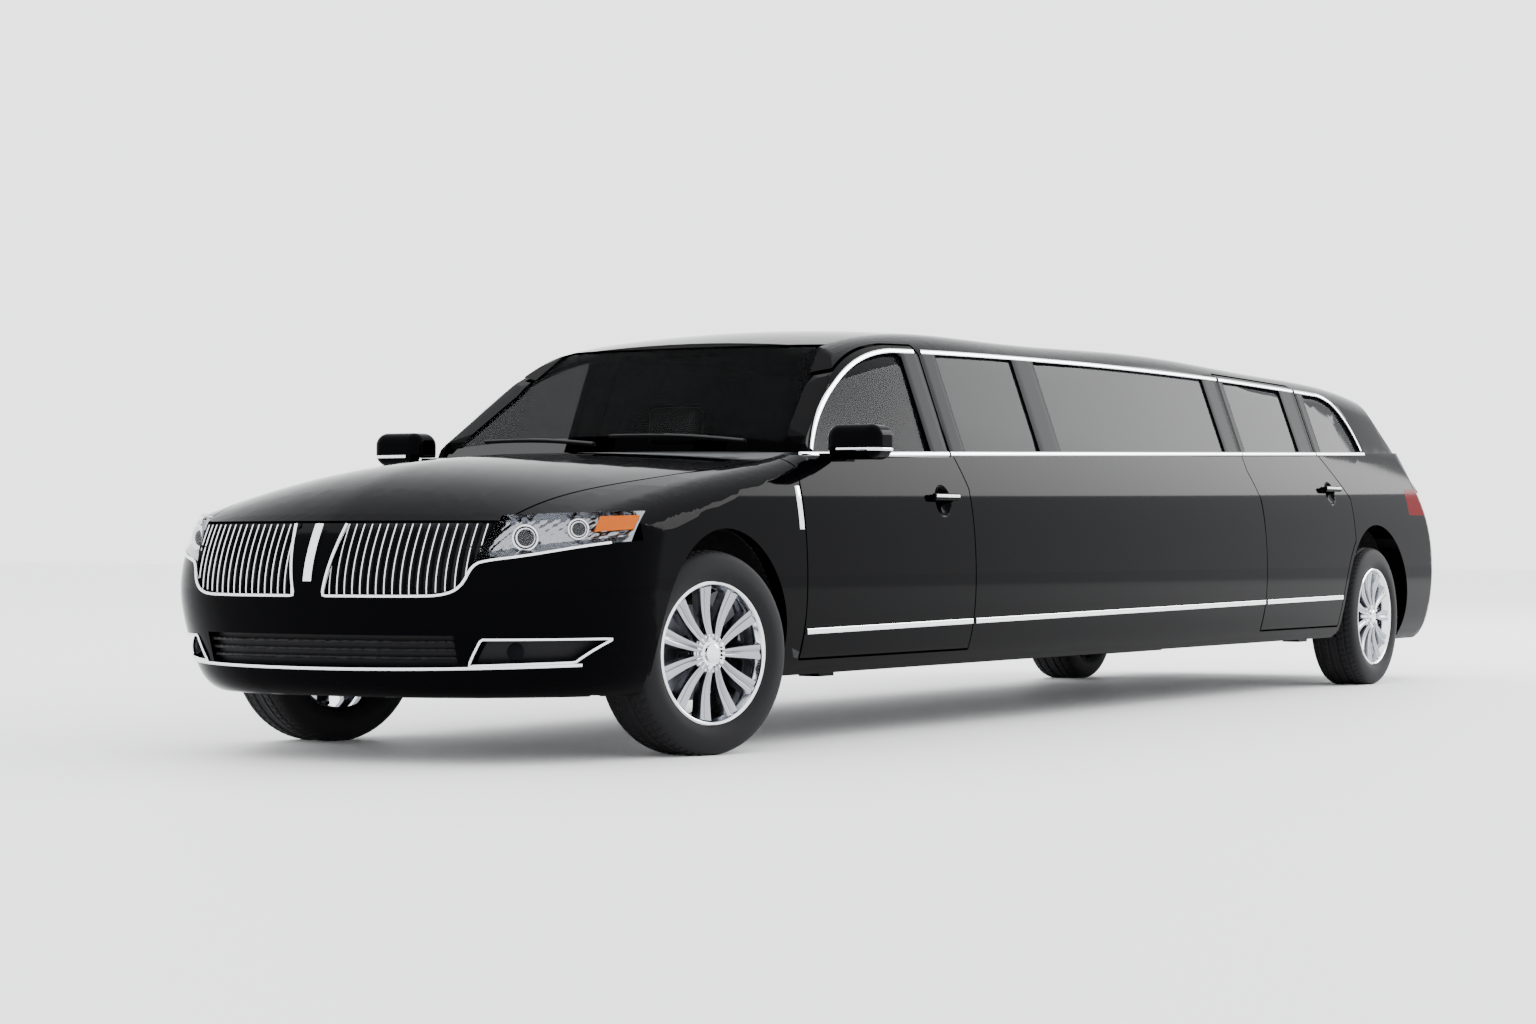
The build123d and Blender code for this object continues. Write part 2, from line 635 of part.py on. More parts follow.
# Wheels
tyre_profile = Polyline(
    (-BARREL, RIM_SEAT), (-TYRE_WIDTH / 2, RIM_SEAT + 72), (-100, TYRE_R), (100, TYRE_R),
    (TYRE_WIDTH / 2, RIM_SEAT + 72), (BARREL, RIM_SEAT), close=True)
tyre = revolve(make_face(tyre_profile), Axis.X)
rim_profile = Polyline(
    (-BARREL, RIM_SEAT), (BARREL, RIM_SEAT), (BARREL + 9, RIM_R), (BARREL + 9, RIM_R - 16),
    (90, 234), (-BARREL, 234), close=True)
rim = revolve(make_face(rim_profile), Axis.X) + rod_x(78, 30, 100, 0, 0) + rod_x(34, 100, 114, 0, 0)
for n in range(SPOKES):
    spoke = prism_z([(62, 50), (98, 50), (104, 240), (70, 240)], -19, 19)
    rim += Rot(360 * n / SPOKES, 0, 0) * spoke
rim -= rod_x(STUB_R + 0.06, 0, 92, 0, 0)
knuckle = rod_x(STUB_R, -45, 90, 0, 0) + block(-97, -43, -38, 38, -128, 128)
knuckle += rod_z(12, -180, 180, -KINGPIN_OFFSET, 0)
steer = Rot(0, 0, -STEER_AT_REST)
kingpin_x = TRACK / 2 - KINGPIN_OFFSET
for side, sign in (("left", 1), ("right", -1)):
    turned = Pos(sign * kingpin_x, FRONT_AXLE, TYRE_R) * steer * Pos(sign * KINGPIN_OFFSET, 0, 0)
    straight = Pos(sign * TRACK / 2, REAR_AXLE, TYRE_R)
    flip = Rot(0, 0, 0 if sign > 0 else 180)
    for node, piece in (("tyre", tyre), ("rim", rim)):
        save(f"front_{side}_{node}", turned * flip * piece)
        save(f"rear_{side}_{node}", straight * flip * piece)
    save(f"{side}_knuckle", turned * flip * knuckle)

# Front subframe
frame_parts = block(-460, 460, FRONT_AXLE - 60, FRONT_AXLE + 60, 207, 257)
for sign in (1, -1):
    x0, x1 = sorted((sign * 430, sign * 460))
    frame_parts += block(x0, x1, FRONT_AXLE - 60, FRONT_AXLE + 60, 207, 537)
    frame_parts += block(x0, x1, front_y(BAY_START), front_y(BAY_END), 256, FLOOR_TOP)
    a0, a1 = sorted((sign * 440, sign * (kingpin_x + 28)))
    for z in (TYRE_R - 150, TYRE_R + 150):
        frame_parts += block(a0, a1, FRONT_AXLE - 28, FRONT_AXLE + 28, z - 15, z + 15)
    frame_parts -= rod_z(12 + RUN_CLEAR, 150, 600, sign * kingpin_x, FRONT_AXLE)
save("front_subframe", frame_parts)

# Rear axle
axle = rod_x(55, -700, 700, REAR_AXLE, TYRE_R) + rod_x(130, -110, 110, REAR_AXLE, TYRE_R)
for sign in (1, -1):
    x0, x1 = sorted((sign * 690, sign * (TRACK / 2 + 90)))
    axle += rod_x(STUB_R, x0, x1, REAR_AXLE, TYRE_R)
    axle += rod_z(60, TYRE_R, RAISED_FLOOR, sign * 420, REAR_AXLE)
save("rear_axle", axle)

# Engine, exhaust and cabin
engine = block(-300, 300, front_y(-470), front_y(330), FLOOR_TOP, 900)
engine += block(-430, 430, front_y(-120), front_y(120), FLOOR_TOP, 420)
save("engine", engine)
exhaust = block(-330, -270, front_y(700), rear_y(-750), 205, 255)
exhaust += block(-420, 60, rear_y(-1500), rear_y(-800), 195, 262)
for y in (front_y(900), front_y(3000), rear_y(-1200)):
    exhaust += block(-320, -280, y, y + 40, 240, FLOOR_BOTTOM)
save("exhaust", exhaust)
dash_view = [(560, 700), (800, 720), (900, 940), (860, 1040), (700, 1072), (560, 1072)]
dashboard = prism_x([(front_y(s), z) for s, z in dash_view], -765, 765)
save("dashboard", dashboard)
wheel_frame = Pos(400, front_y(1010), 960) * Rot(-65, 0, 0)
helm = Torus(180, 15) + Cylinder(60, 30) + Box(350, 30, 18) + Pos(0, 0, -95) * Cylinder(28, 200)
save("steering_wheel", wheel_frame * helm - dashboard)
seat_view = [
    (1280, FLOOR_TOP), (1740, FLOOR_TOP), (1930, 1190), (1950, 1390),
    (1870, 1390), (1800, 1150), (1700, 640), (1270, 640),
]
seat = prism_x([(front_y(s), z) for s, z in seat_view], 150, 670)
save("front_seats", *both(seat))
bench_view = [(-1250, FLOOR_TOP), (-590, FLOOR_TOP), (-585, 1190), (-690, 1190), (-740, 700), (-1250, 690)]
bench = prism_x([(rear_y(s), z) for s, z in bench_view], -760, 760)
side_bench_view = [(-815, FLOOR_TOP), (-330, FLOOR_TOP), (-330, 680), (-680, 700), (-740, 1060), (-815, 1060)]
side_bench = prism_y(side_bench_view, front_y(2400), rear_y(-1900))
save("cabin_seats", bench, side_bench)
for y in (front_y(900), rear_y(-900)):
    half += block(815, 905, y - 60, y + 60, FLOOR_BOTTOM - 15, FLOOR_BOTTOM + 1)
save("front_fenders", *both(fender))
save("body_side_left", half)
save("body_side_right", other_side(half))
save("hood", hood)
save("liftgate", gate)
for name, door in doors.items():
    save(f"{name}_left_door", door)
    save(f"{name}_right_door", other_side(door))
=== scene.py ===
"""Looks of the stretch limousine: finishes, chrome trim, lamps, wheels and seats around the CAD frame."""

import json
import math

import bmesh
import bpy
import numpy as np
from mathutils import Matrix, Vector
from mathutils.bvhtree import BVHTree


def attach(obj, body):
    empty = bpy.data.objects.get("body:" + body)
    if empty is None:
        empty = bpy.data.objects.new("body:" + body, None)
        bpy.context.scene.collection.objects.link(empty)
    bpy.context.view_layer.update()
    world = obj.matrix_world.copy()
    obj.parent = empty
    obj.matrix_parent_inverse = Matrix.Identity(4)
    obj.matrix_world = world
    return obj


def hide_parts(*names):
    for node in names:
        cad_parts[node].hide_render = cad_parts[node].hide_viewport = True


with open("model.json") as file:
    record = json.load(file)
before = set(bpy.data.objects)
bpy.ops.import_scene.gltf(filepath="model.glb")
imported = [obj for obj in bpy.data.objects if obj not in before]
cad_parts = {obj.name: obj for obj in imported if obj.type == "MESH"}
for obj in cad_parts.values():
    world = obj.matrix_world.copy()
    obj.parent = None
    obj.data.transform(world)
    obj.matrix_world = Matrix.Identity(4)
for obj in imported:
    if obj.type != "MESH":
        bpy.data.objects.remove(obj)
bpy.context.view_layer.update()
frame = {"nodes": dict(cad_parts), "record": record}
NODES = frame["nodes"]

# Places shared with the CAD frame, in metres
WHEELBASE = 6.93
FRONT_OVERHANG = 1.185
REAR_OVERHANG = 1.265
LENGTH = FRONT_OVERHANG + WHEELBASE + REAR_OVERHANG
FRONT_AXLE = FRONT_OVERHANG - LENGTH / 2
REAR_AXLE = FRONT_AXLE + WHEELBASE
HALF_WIDTH = 1.0
TRACK = 1.72
KINGPIN_OFFSET = 0.07
STEER_AT_REST = math.radians(-15)
TYRE_R = 0.372
BELT_HEIGHT, BELT_SLOPE = 1.085, 0.0235

# Camera of the photo: place, heading and focal length
CAMERA_AT = (7.145, FRONT_AXLE - 10.273, 0.774)
CAMERA_HEADING = 30.2
CAMERA_TILT = 0.54
CAMERA_LENS = 76.9


def linear(text):
    """sRGB hex text as linear red, green, blue and alpha."""
    values = np.array([int(text[i:i + 2], 16) for i in (0, 2, 4)]) / 255
    low = values / 12.92
    high = ((values + 0.055) / 1.055) ** 2.4
    return (*np.where(values <= 0.04045, low, high), 1.0)


def add_node(tree, kind, links=(), **settings):
    """Add a shader node, set its sockets and properties, and link (input name, output socket) pairs."""
    made = tree.nodes.new(kind)
    for key, value in settings.items():
        if hasattr(made, key):
            setattr(made, key, value)
        else:
            made.inputs[key.replace("_", " ")].default_value = value
    for name, socket in links:
        tree.links.new(socket, made.inputs[name])
    return made


def material(name, colour, roughness, **settings):
    """A plain finish: one Principled shader with its sockets set."""
    made = bpy.data.materials.new(name)
    made.use_nodes = True
    shader = made.node_tree.nodes["Principled BSDF"]
    shader.inputs["Base Color"].default_value = linear(colour)
    shader.inputs["Roughness"].default_value = roughness
    for key, value in settings.items():
        shader.inputs[key.replace("_", " ")].default_value = value
    return made


def bump(made, scale, strength, distance, detail=4.0):
    """Fine grain in a finish, from noise in object space."""
    tree = made.node_tree
    place = add_node(tree, "ShaderNodeTexCoord")
    noise = add_node(
        tree, "ShaderNodeTexNoise", [("Vector", place.outputs["Object"])], Scale=scale, Detail=detail)
    lift = add_node(
        tree, "ShaderNodeBump", [("Height", noise.outputs["Fac"])], Strength=strength, Distance=distance)
    tree.links.new(lift.outputs["Normal"], tree.nodes["Principled BSDF"].inputs["Normal"])
    return made


PAINT = material("Gloss black lacquer", "020203", 0.05, IOR=1.07)
CHROME = material("Polished chrome", "e6e7ea", 0.06, Metallic=1.0)
SATIN = material("Satin black trim", "0c0d0f", 0.2, IOR=1.06)
SILVER = material("Bright machined alloy", "96989d", 0.18, Metallic=1.0)
GLASS = material("Dark tinted glass", "0b0d0f", 0.03, IOR=1.08, Alpha=0.78)
PRIVACY = material("Privacy glass", "0b0d0f", 0.03, IOR=1.08, Alpha=0.97)
SCREEN = material("Laminated windshield glass", "0a0c0d", 0.01, IOR=1.04, Alpha=0.4)
LENS = material("Clear lamp lens", "1c2023", 0.01, IOR=1.3, Alpha=0.12)
RED_LENS = material("Red lamp lens", "520305", 0.10, IOR=1.06)
AMBER = material("Amber lamp lens", "b85605", 0.12, IOR=1.2)
RUBBER = bump(material("Tyre rubber", "0d0d0f", 0.75, IOR=1.3), 900.0, 0.15, 0.001)
BLACK = material("Black moulded plastic", "08080a", 0.5, IOR=1.25)
IRON = bump(material("Cast iron", "3b3c3e", 0.6, Metallic=0.6), 300.0, 0.2, 0.001)
STEEL = material("Coated steel", "2c2d2f", 0.5, Metallic=0.5)
LEATHER = bump(material("Black leather", "1d1c1c", 0.45), 450.0, 0.25, 0.001)
MIRROR = material("Mirror glass", "eef1f4", 0.01, Metallic=1.0)
DISC = material("Brushed brake steel", "8f9195", 0.3, Metallic=1.0)


def put(mesh, name, finish, body, replaces=()):
    """Link a mesh as a named piece, give it a finish and seat it on a CAD body."""
    piece = bpy.data.objects.new(name, mesh)
    bpy.context.scene.collection.objects.link(piece)
    mesh.materials.clear()
    mesh.materials.append(finish)
    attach(piece, body)
    for node in replaces:
        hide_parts(node)
    return piece


def front_y(station):
    """Y at a distance behind the front axle."""
    return FRONT_AXLE + station


def rear_y(station):
    """Y at a distance behind the rear axle."""
    return REAR_AXLE + station


def belt_z(y):
    """Height of the belt line, which rises evenly to the rear."""
    return BELT_HEIGHT + BELT_SLOPE * (y - FRONT_AXLE)


def cubic(at, values):
    """A natural cubic through table rows, as a function of whole arrays."""
    at, values = np.array(at, float), np.array(values, float)
    gap = np.diff(at)
    size = len(at)
    system = np.eye(size)
    slope = np.zeros(size)
    inner = np.arange(1, size - 1)
    system[inner, inner - 1] = gap[:-1]
    system[inner, inner] = 2 * (gap[:-1] + gap[1:])
    system[inner, inner + 1] = gap[1:]
    rise = np.diff(values) / gap
    slope[1:-1] = 6 * np.diff(rise)
    bend = np.linalg.solve(system, slope)

    def value(x):
        x = np.asarray(x, float)
        k = np.clip(np.searchsorted(at, x) - 1, 0, size - 2)
        a, b = at[k + 1] - x, x - at[k]
        curve = (bend[k] * a ** 3 + bend[k + 1] * b ** 3) / (6 * gap[k])
        low_end = (values[k] / gap[k] - bend[k] * gap[k] / 6) * a
        high_end = (values[k + 1] / gap[k] - bend[k + 1] * gap[k] / 6) * b
        return curve + (low_end + high_end)

    return value


# Plan outlines of the lower body: height, half width lost, nose set back, tail set back
LOWER_ROWS = np.array([
    (0.235, 0.095, 0.125, 0.075), (0.330, 0.040, 0.055, 0.020), (0.450, 0.012, 0.025, 0.007),
    (0.600, 0.000, 0.000, 0.000), (0.760, 0.003, 0.035, 0.010), (0.900, 0.016, 0.110, 0.050),
    (1.060, 0.050, 0.225, 0.135), (1.340, 0.150, 0.485, 0.285),
])
side_lost = cubic(LOWER_ROWS[:, 0], LOWER_ROWS[:, 1])
nose_back = cubic(LOWER_ROWS[:, 0], LOWER_ROWS[:, 2])
tail_back = cubic(LOWER_ROWS[:, 0], LOWER_ROWS[:, 3])


SIDE_REACH, SIDE_TURN = 0.004, 25


def side_normals(mesh):
    """Give corners on the straight sides the normal of the side's own section.

    The section's normal points one part outwards and, upwards, as much as the half width shrinks with height.
    """
    corners = np.empty(len(mesh.loops), int)
    mesh.loops.foreach_get("vertex_index", corners)
    points = np.empty(3 * len(mesh.vertices))
    mesh.vertices.foreach_get("co", points)
    points = points.reshape(-1, 3)[corners]
    normals = np.empty(3 * len(corners))
    mesh.corner_normals.foreach_get("vector", normals)
    normals = normals.reshape(-1, 3)
    x, z = points[:, 0], points[:, 2]
    slope = (side_lost(z + 0.001) - side_lost(z - 0.001)) / 0.002
    exact = np.stack([np.sign(x), 0 * z, slope], -1)
    exact /= np.linalg.norm(exact, axis=1, keepdims=True)
    on_side = np.abs(HALF_WIDTH - side_lost(z) - np.abs(x)) < SIDE_REACH
    on_side &= (z > LOWER_ROWS[0, 0]) & (z < LOWER_ROWS[-1, 0])
    on_side &= (exact * normals).sum(1) > math.cos(math.radians(SIDE_TURN))
    normals[on_side] = exact[on_side]
    mesh.normals_split_custom_set(normals.tolist())


def smooth_copy(node, finish, body, angle):
    """A CAD panel with its corners joined, so that its faces shade smoothly, the large ones leading."""
    mesh = NODES[node].data.copy()
    joined = bmesh.new()
    joined.from_mesh(mesh)
    bmesh.ops.remove_doubles(joined, verts=joined.verts, dist=1e-5)
    joined.to_mesh(mesh)
    joined.free()
    mesh.shade_smooth()
    mesh.set_sharp_from_angle(angle=math.radians(angle))
    holder = bpy.data.objects.new(node, mesh)
    bpy.context.scene.collection.objects.link(holder)
    weigh = holder.modifiers.new("weigh", "WEIGHTED_NORMAL")
    weigh.keep_sharp = True
    weighed = bpy.data.meshes.new_from_object(holder.evaluated_get(bpy.context.evaluated_depsgraph_get()))
    bpy.data.objects.remove(holder)
    side_normals(weighed)
    return put(weighed, f"{node}_skin", finish, body, [node])


# Finish of each CAD node that stays in view
BODY_OF = {node: body for body, nodes in frame["record"]["behaviour"]["bodies"].items() for node in nodes}
SLOT_OF = {row["node"]: row["material_slot"] for row in frame["record"]["subparts"]}
SLOT_FINISH = {
    "paint": PAINT, "tyre": RUBBER, "rim": SILVER, "steel": STEEL, "tinted_glass": GLASS, "underbody": STEEL,
    "liner": BLACK, "grille": CHROME, "lamp_lens": LENS, "tail_lens": RED_LENS, "engine": IRON, "trim": BLACK,
    "leather": LEATHER,
}
NODE_FINISH = {
    "windshield": SCREEN, "lower_grille": BLACK, "upper_grille": BLACK, "fixed_side_glass": PRIVACY,
    "rear_left_glass": PRIVACY, "rear_right_glass": PRIVACY, "liftgate_glass": PRIVACY,
}
PANEL_ANGLE, SMALL_PIECE_ANGLE = 14, 32
for node, body in BODY_OF.items():
    if node.endswith(("_tyre", "_rim", "_seats")) or node == "headlamps":
        continue
    finish = NODE_FINISH.get(node, SLOT_FINISH[SLOT_OF[node]])
    smooth_copy(node, finish, body, PANEL_ANGLE if finish is PAINT else SMALL_PIECE_ANGLE)


def end_y(x, z, back, bow, corner, inset):
    """How far behind the end's foremost point the bowed end lies at x and z."""
    half = HALF_WIDTH - side_lost(z) - inset
    bow, corner = bow - inset, corner - inset
    x = np.abs(x)
    drop = np.sqrt((bow - corner) ** 2 - (half - corner) ** 2)
    join = (half - corner) * bow / (bow - corner)
    on_bow = bow - np.sqrt(np.clip(bow ** 2 - x ** 2, 0, None))
    on_corner = bow - drop - np.sqrt(np.clip(corner ** 2 - (x - half + corner) ** 2, 0, None))
    return back(z) + inset + np.where(x < join, on_bow, on_corner)


def nose_point(x, z, inset=0.0):
    """Points on the nose at x and z, moved inwards by inset."""
    x, z = np.broadcast_arrays(np.asarray(x, float), np.asarray(z, float))
    return np.stack([x, end_y(x, z, nose_back, 2.0, 0.75, inset) - LENGTH / 2, z], -1)


def tail_point(x, z, inset=0.0):
    """Points on the tail at x and z, moved inwards by inset."""
    x, z = np.broadcast_arrays(np.asarray(x, float), np.asarray(z, float))
    return np.stack([x, LENGTH / 2 - end_y(x, z, tail_back, 3.0, 0.35, inset), z], -1)


def side_point(y, z, proud=0.0):
    """Points on the left side below the belt."""
    y, z = np.broadcast_arrays(np.asarray(y, float), np.asarray(z, float))
    return np.stack([HALF_WIDTH - side_lost(z) + proud, y, z], -1)


def cabin_point(y, z, proud=0.0):
    """Points on the left side of the cabin above the belt."""
    y, z = np.broadcast_arrays(np.asarray(y, float), np.asarray(z, float))
    return np.stack([0.945 - 0.35 * (z - 1.06) + proud, y, z], -1)


def surface(name, points, wrap_u=False, wrap_v=False):
    """A smooth mesh over a grid of points, joined at its ends where it wraps."""
    rows, columns = points.shape[:2]
    index = np.arange(rows * columns).reshape(rows, columns)
    if wrap_u:
        index = np.vstack([index, index[:1]])
    if wrap_v:
        index = np.hstack([index, index[:, :1]])
    quads = np.stack([index[:-1, :-1], index[1:, :-1], index[1:, 1:], index[:-1, 1:]], -1).reshape(-1, 4)
    mesh = bpy.data.meshes.new(name)
    mesh.from_pydata(points.reshape(-1, 3).tolist(), [], quads.tolist())
    mesh.shade_smooth()
    mesh.set_sharp_from_angle(angle=math.radians(40))
    return mesh


def joined(name, meshes):
    """Several meshes as one."""
    whole = bmesh.new()
    for mesh in meshes:
        whole.from_mesh(mesh)
    made = bpy.data.meshes.new(name)
    whole.to_mesh(made)
    whole.free()
    made.set_sharp_from_angle(angle=math.radians(40))
    return made


# Mouldings: width and thickness
MOULDINGS = {
    "surround": (0.020, 0.010), "belt": (0.019, 0.011), "sill": (0.022, 0.010), "slat": (0.005, 0.004),
    "grille": (0.011, 0.012), "intake": (0.012, 0.012), "fog": (0.010, 0.012), "nose": (0.038, 0.018),
    "mirror": (0.012, 0.008), "fender": (0.030, 0.008), "handle": (0.010, 0.003), "wiper": (0.010, 0.016),
    "wiper_arm": (0.014, 0.008), "gate": (0.034, 0.014), "bumper": (0.018, 0.010),
}


def sweep(name, path, out, width, thick, closed=False):
    """A moulding: a rounded strip of a width and thickness carried along a path.

    Each section lies across the path, with its thickness along out; the strip's ends are drawn to a close.
    """
    path = np.asarray(path, float)
    along = np.roll(path, -1, 0) - np.roll(path, 1, 0) if closed else np.gradient(path, axis=0)
    along /= np.linalg.norm(along, axis=1, keepdims=True)
    out = np.broadcast_to(np.asarray(out, float), path.shape)
    across = np.cross(along, out)
    across /= np.linalg.norm(across, axis=1, keepdims=True)
    out = np.cross(across, along)
    angle = np.linspace(0, 2 * np.pi, 12, endpoint=False)
    wide = width / 2 * np.sign(np.cos(angle)) * np.abs(np.cos(angle)) ** 0.5
    high = thick / 2 * np.sign(np.sin(angle)) * np.abs(np.sin(angle)) ** 0.5
    grid = path[:, None] + across[:, None] * wide[None, :, None] + out[:, None] * high[None, :, None]
    if not closed:
        first, last = grid[:1].mean(1, keepdims=True), grid[-1:].mean(1, keepdims=True)
        ring = np.ones((1, len(angle), 1))
        grid = np.concatenate([first * ring, grid, last * ring])
    return surface(name, grid, wrap_u=closed, wrap_v=True)


def eased(points, passes):
    """Straight runs with their corners cut: each pass puts points at 1/4 and 3/4 of every run."""
    points = np.array(points, float)
    for _ in range(passes):
        near = 0.75 * points[:-1] + 0.25 * points[1:]
        far = 0.25 * points[:-1] + 0.75 * points[1:]
        cut = np.stack([near, far], 1).reshape(-1, points.shape[1])
        points = np.concatenate([points[:1], cut, points[-1:]])
    return points


def mirrored(mesh, name):
    """The same mesh on the car's other side."""
    made = mesh.copy()
    made.name = name
    made.transform(Matrix.Scale(-1, 4, (1, 0, 0)))
    made.flip_normals()
    return made


def both_sides(mesh, name, finish, body):
    """A piece on the left and its mirror image on the right; left in the body's name turns to right."""
    put(mirrored(mesh, f"{name}_right"), f"{name}_right", finish, body.replace("left", "right"))
    return put(mesh, f"{name}_left", finish, body)


def arc(a, b, c, count):
    """Points along the circle through three points of a plane."""
    a, b, c = (np.array(p, float) for p in (a, b, c))
    rows = 2 * np.array([b - a, c - a])
    centre = np.linalg.solve(rows, [b @ b - a @ a, c @ c - a @ a])
    start, middle, end = (math.atan2(*(p - centre)[::-1]) for p in (a, b, c))
    middle = start + (middle - start + math.pi) % (2 * math.pi) - math.pi
    end = middle + (end - middle + math.pi) % (2 * math.pi) - math.pi
    turn = np.linspace(start, end, count)
    return centre + np.linalg.norm(a - centre) * np.stack([np.cos(turn), np.sin(turn)], -1)


def polyline(points, step):
    """Points at even steps along straight runs."""
    points = np.array(points, float)
    runs = np.linalg.norm(np.diff(points, axis=0), axis=1)
    at = np.concatenate([[0], np.cumsum(runs)])
    where = np.linspace(0, at[-1], max(2, int(at[-1] / step) + 1))
    return np.stack([np.interp(where, at, column) for column in points.T], -1)


def on_panel(path, node, proud):
    """A path moved along X to the outer face of a left panel, and out by proud.

    Each point takes the x where a line across the car meets the panel; a point that misses it takes its x
    from its neighbours.
    """
    mesh = NODES[node].data
    tree = BVHTree.FromPolygons([v.co for v in mesh.vertices], [list(p.vertices) for p in mesh.polygons])
    hits = [tree.ray_cast((HALF_WIDTH + 0.5, y, z), (-1, 0, 0))[0] for _, y, z in path]
    near = np.array([hit is not None and abs(hit[0] - x) < PANEL_REACH for hit, x in zip(hits, path[:, 0])])
    found = [hit[0] for hit, meets in zip(hits, near) if meets]
    order = np.arange(len(path))
    moved = path.copy()
    moved[:, 0] = np.interp(order, order[near], found) + proud
    return moved


# Chrome round the windows, along the belt and along the doors
PANEL_REACH = 0.08
FRONT_DOOR = (front_y(0.590), front_y(1.935))
REAR_DOOR = (rear_y(-1.720), rear_y(-0.660))
EDGE_RELIEF = 0.008
glass_front = (front_y(0.815), belt_z(front_y(0.815)) + 0.022)
glass_crest = (front_y(1.720), 1.560)
glass_rear_top = (rear_y(-0.370), 1.566)
glass_rear = (rear_y(0.080), belt_z(rear_y(0.080)) + 0.022)
window_line = np.concatenate([
    arc(glass_front, (front_y(1.145), 1.385), glass_crest, 40)[:-1],
    arc(glass_crest, ((glass_crest[0] + glass_rear_top[0]) / 2, 1.594), glass_rear_top, 160)[:-1],
    arc(glass_rear_top, (rear_y(-0.070), 1.471), glass_rear, 40),
])
RANGES = (
    ("front_door", FRONT_DOOR[0] - 0.1, FRONT_DOOR[1] - EDGE_RELIEF, "front_left_door", "front_left_door"),
    ("stretch", FRONT_DOOR[1] + 0.009, REAR_DOOR[0] - 0.009, "body", "body_side_left"),
    ("rear_door", REAR_DOOR[0], REAR_DOOR[1] - EDGE_RELIEF, "rear_left_door", "rear_left_door"),
    ("quarter", REAR_DOOR[1] + 0.009, rear_y(1.0), "body", "body_side_left"),
)
WALL_OUT = np.array([1.0, 0.0, 0.35]) / math.hypot(1.0, 0.35)
for name, start, end, body, panel in RANGES:
    line = window_line[(window_line[:, 0] > start) & (window_line[:, 0] < end)]
    path = on_panel(cabin_point(line[:, 0], line[:, 1] + 0.010), panel, 0.004)
    surround = sweep(f"{name}_surround", path, WALL_OUT, *MOULDINGS["surround"])
    both_sides(surround, f"{name}_surround", CHROME, body)
    y = np.linspace(max(start, front_y(0.70)), min(end, rear_y(0.10)), 60)
    path = on_panel(cabin_point(y, belt_z(y) + 0.014), panel, 0.003)
    belt = sweep(f"{name}_belt", path, WALL_OUT, *MOULDINGS["belt"])
    both_sides(belt, f"{name}_belt", CHROME, body)
SILL_STRIP = (
    ("front_door", front_y(0.60), front_y(2.00), "front_left_door"),
    ("stretch", front_y(2.03), rear_y(-1.655), "body"),
    ("rear_door", rear_y(-1.625), rear_y(-0.545), "rear_left_door"),
)
for name, start, end, body in SILL_STRIP:
    y = np.linspace(start, end, 60)
    path = side_point(y, 0.436 + 0.0083 * (y - front_y(0.558)), 0.002)
    strip = sweep(f"{name}_sill_strip", path, (1, 0, 0), *MOULDINGS["sill"])
    both_sides(strip, f"{name}_sill_strip", CHROME, body)

# Pillar covers between the windows: from, to
PILLARS = (
    ("front_door", front_y(1.771), front_y(1.925), "front_left_door"),
    ("stretch_front", front_y(1.947), front_y(2.090), "body"),
    ("stretch_middle", front_y(2.837), front_y(3.058), "body"),
    ("stretch_rear", rear_y(-1.917), rear_y(-1.732), "body"),
    ("rear_door_front", rear_y(-1.717), rear_y(-1.647), "rear_left_door"),
    ("rear_door_rear", rear_y(-0.882), rear_y(-0.670), "rear_left_door"),
    ("quarter", rear_y(-0.648), rear_y(-0.553), "body"),
)
for name, start, end, body in PILLARS:
    u, v = np.meshgrid(np.linspace(0, 1, 9), np.linspace(0, 1, 12), indexing="ij")
    y = start + u * (end - start)
    top = np.interp(y, window_line[:, 0], window_line[:, 1])
    low = belt_z(y) + 0.024
    edge = 0.0025 * np.minimum(1, 12 * np.minimum(u, 1 - u))
    cover = surface(f"{name}_pillar", cabin_point(y, low + v * (top - low), 0) + edge[..., None] * WALL_OUT)
    both_sides(cover, f"{name}_pillar", SATIN, body)

# Nose: grille backing and frames
POCKET_DEPTH = 0.035
LINE_STEP = 0.012


def grille_low(x):
    """Height of a grille half's lower edge at x."""
    return np.interp(x, [0.062, 0.44, 0.575, 0.608, 0.647], [0.592, 0.592, 0.612, 0.709, 0.843])


def grille_high(x):
    """Height of a grille half's upper edge at x."""
    return np.minimum(0.843, 0.592 + (x - 0.062) * 0.251 / 0.050)


def patch(name, x0, x1, low, high, inset, point=nose_point):
    """A sheet on the nose between two heights that vary across it."""
    u, v = np.meshgrid(np.linspace(0, 1, 40), np.linspace(0, 1, 16), indexing="ij")
    x = x0 + u * (x1 - x0)
    z = low(x) + v * (high(x) - low(x))
    return surface(name, point(x, z, inset))


grille_back = patch("grille_back", 0.064, 0.645, grille_low, grille_high, POCKET_DEPTH)
both_sides(grille_back, "grille_back", BLACK, "body")
SLATS = 18
SLAT_THICK = 0.007
edges = []
for n in range(SLATS):
    at = 0.080 + n * (0.640 - 0.075) / SLATS + SLAT_THICK / 2
    z = np.linspace(grille_low(at) + 0.004, grille_high(at) - 0.004, 24)
    path = nose_point(np.full(24, at), z, 0.0095)
    edges.append(sweep(f"slat_edge_{n}", path, (0, -1, 0), *MOULDINGS["slat"]))
both_sides(joined("slat_edges", edges), "slat_edges", CHROME, "body")
frame_corners = [(0.112, 0.840), (0.067, 0.615), (0.062, 0.590), (0.086, 0.590), (0.42, 0.590), (0.53, 0.594)]
frame_corners += [(0.585, 0.625), (0.610, 0.700), (0.650, 0.714), (0.76, 0.730), (0.93, 0.775)]
frame_line = polyline(eased(frame_corners, 3), LINE_STEP)
frame_path = nose_point(frame_line[:, 0], frame_line[:, 1], -0.002)
